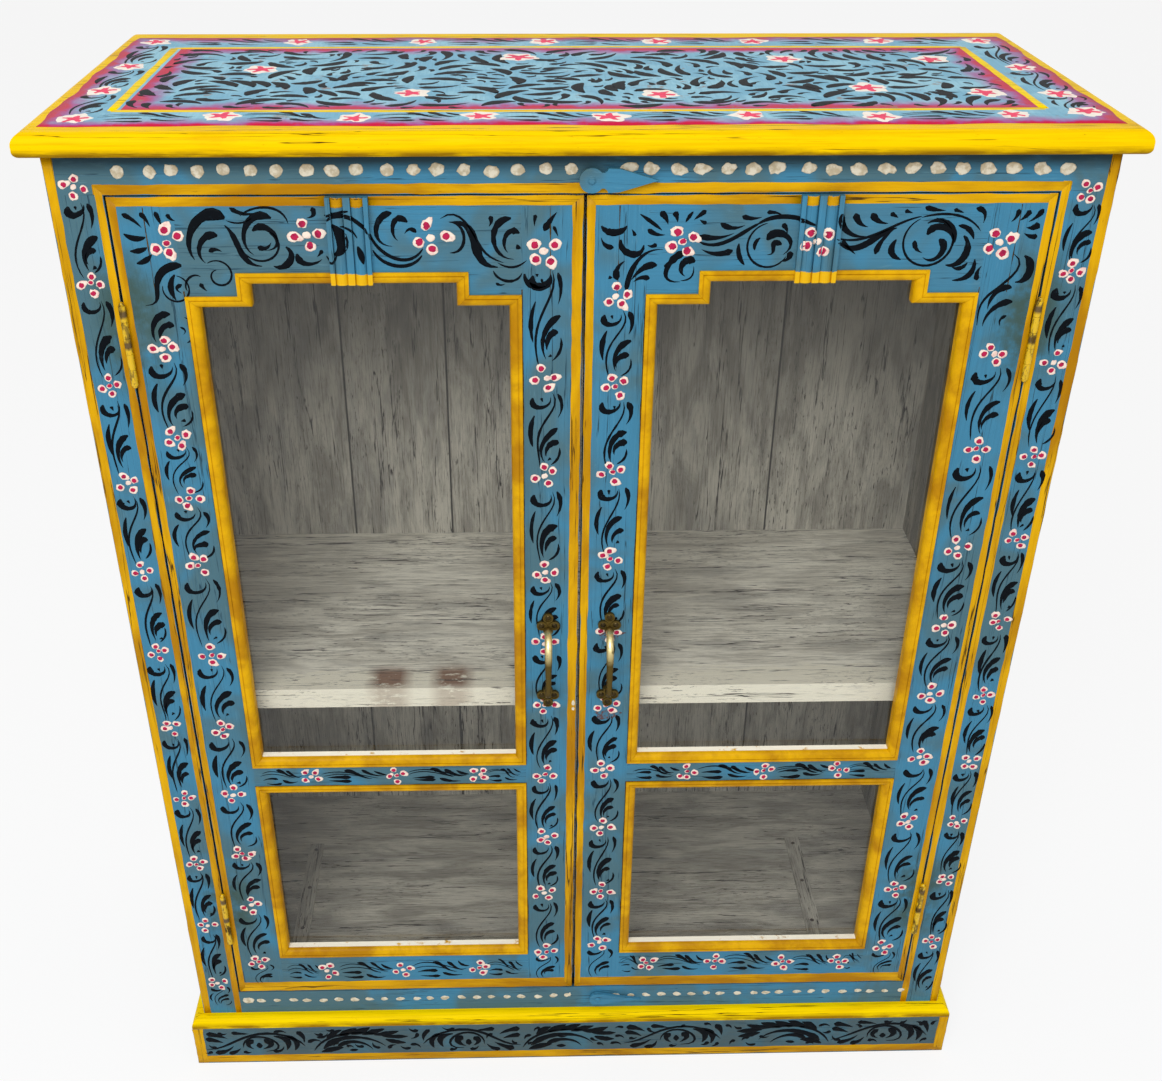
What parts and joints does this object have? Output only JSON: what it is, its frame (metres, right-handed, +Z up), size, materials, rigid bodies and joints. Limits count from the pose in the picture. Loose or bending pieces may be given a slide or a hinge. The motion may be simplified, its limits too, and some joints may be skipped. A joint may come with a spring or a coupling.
{
  "type": "glazed cabinet with two doors",
  "caption": "Floor-standing glazed cabinet in hand-painted wood: stepped-head double doors, shelf, bow pulls and turn buttons, on a moulded plinth.",
  "frame": {"origin": "centre of the whole object's box in plan, on the floor", "axes": "+Z up, +X to the right as one faces the doors, +Y from the doors to the back"},
  "size_m": [0.932, 0.4196, 1.133],
  "materials": {
    "blue_paint": "hand-brushed blue paint over wood, with black, cream and crimson brushwork",
    "yellow_paint": "hand-brushed yellow enamel, worn along its edges",
    "grey_wash": "distressed grey-white wash over open grain",
    "glass": "clear window glass",
    "pull_brass": "cast brass with a dark greenish patina, polished by hands on the bow",
    "hinge_brass": "brass under worn yellow paint",
    "latch_iron": "hand-brushed blue paint over metal",
    "nail_iron": "dull dark iron"
  },
  "bodies": {
    "cabinet": {"top_board": "yellow_paint", "left_side": "blue_paint", "right_side": "blue_paint", "back_board_1": "grey_wash", "back_board_2": "grey_wash", "back_board_3": "grey_wash", "back_board_4": "grey_wash", "back_board_5": "grey_wash", "shelf_board_front": "grey_wash", "shelf_board_back": "grey_wash", "floor_board_front": "grey_wash", "floor_board_back": "grey_wash", "side_cleats": "grey_wash", "floor_battens": "grey_wash", "batten_nails": "nail_iron", "left_face_stile": "blue_paint", "right_face_stile": "blue_paint", "frieze_rail": "blue_paint", "sill_rail": "blue_paint", "door_stop": "grey_wash", "plinth_front": "blue_paint", "plinth_left": "blue_paint", "plinth_right": "blue_paint", "plinth_moulding_front": "yellow_paint", "plinth_moulding_left": "yellow_paint", "plinth_moulding_right": "yellow_paint", "hinge_frame_leaves": "hinge_brass", "hinge_pins": "hinge_brass", "frame_screws": "hinge_brass"},
    "left_door": {"left_hinge_stile": "blue_paint", "left_meeting_stile": "blue_paint", "left_top_rail": "blue_paint", "left_mid_rail": "blue_paint", "left_bottom_rail": "blue_paint", "left_reeded_block": "blue_paint", "left_upper_pane": "glass", "left_lower_pane": "glass", "left_upper_bead": "yellow_paint", "left_lower_bead": "yellow_paint", "left_glazing_fillets": "grey_wash", "left_hinge_leaves": "hinge_brass", "left_handle": "pull_brass", "left_door_screws": "pull_brass"},
    "right_door": {"right_hinge_stile": "blue_paint", "right_meeting_stile": "blue_paint", "right_top_rail": "blue_paint", "right_mid_rail": "blue_paint", "right_bottom_rail": "blue_paint", "right_reeded_block": "blue_paint", "right_upper_pane": "glass", "right_lower_pane": "glass", "right_upper_bead": "yellow_paint", "right_lower_bead": "yellow_paint", "right_glazing_fillets": "grey_wash", "right_hinge_leaves": "hinge_brass", "right_handle": "pull_brass", "right_door_screws": "pull_brass"},
    "top_latch": {"top_latch": "latch_iron"},
    "bottom_latch": {"bottom_latch": "latch_iron"}
  },
  "joints": [
    {"name": "left_door_hinge", "type": "hinge", "parent": "cabinet", "child": "left_door", "pos_m": [-0.403, -0.18455, 0.6], "axis": [0, 0, -1], "range_deg": [0, 170]},
    {"name": "right_door_hinge", "type": "hinge", "parent": "cabinet", "child": "right_door", "pos_m": [0.403, -0.18455, 0.6], "axis": [0, 0, 1], "range_deg": [0, 170]},
    {"name": "top_latch_pivot", "type": "hinge", "parent": "cabinet", "child": "top_latch", "pos_m": [0.005, -0.1849, 1.09], "axis": [0, 1, 0], "range_deg": [0, 180]},
    {"name": "bottom_latch_pivot", "type": "hinge", "parent": "cabinet", "child": "bottom_latch", "pos_m": [0.03, -0.1849, 0.093], "axis": [0, -1, 0], "range_deg": [0, 180]}
  ]
}
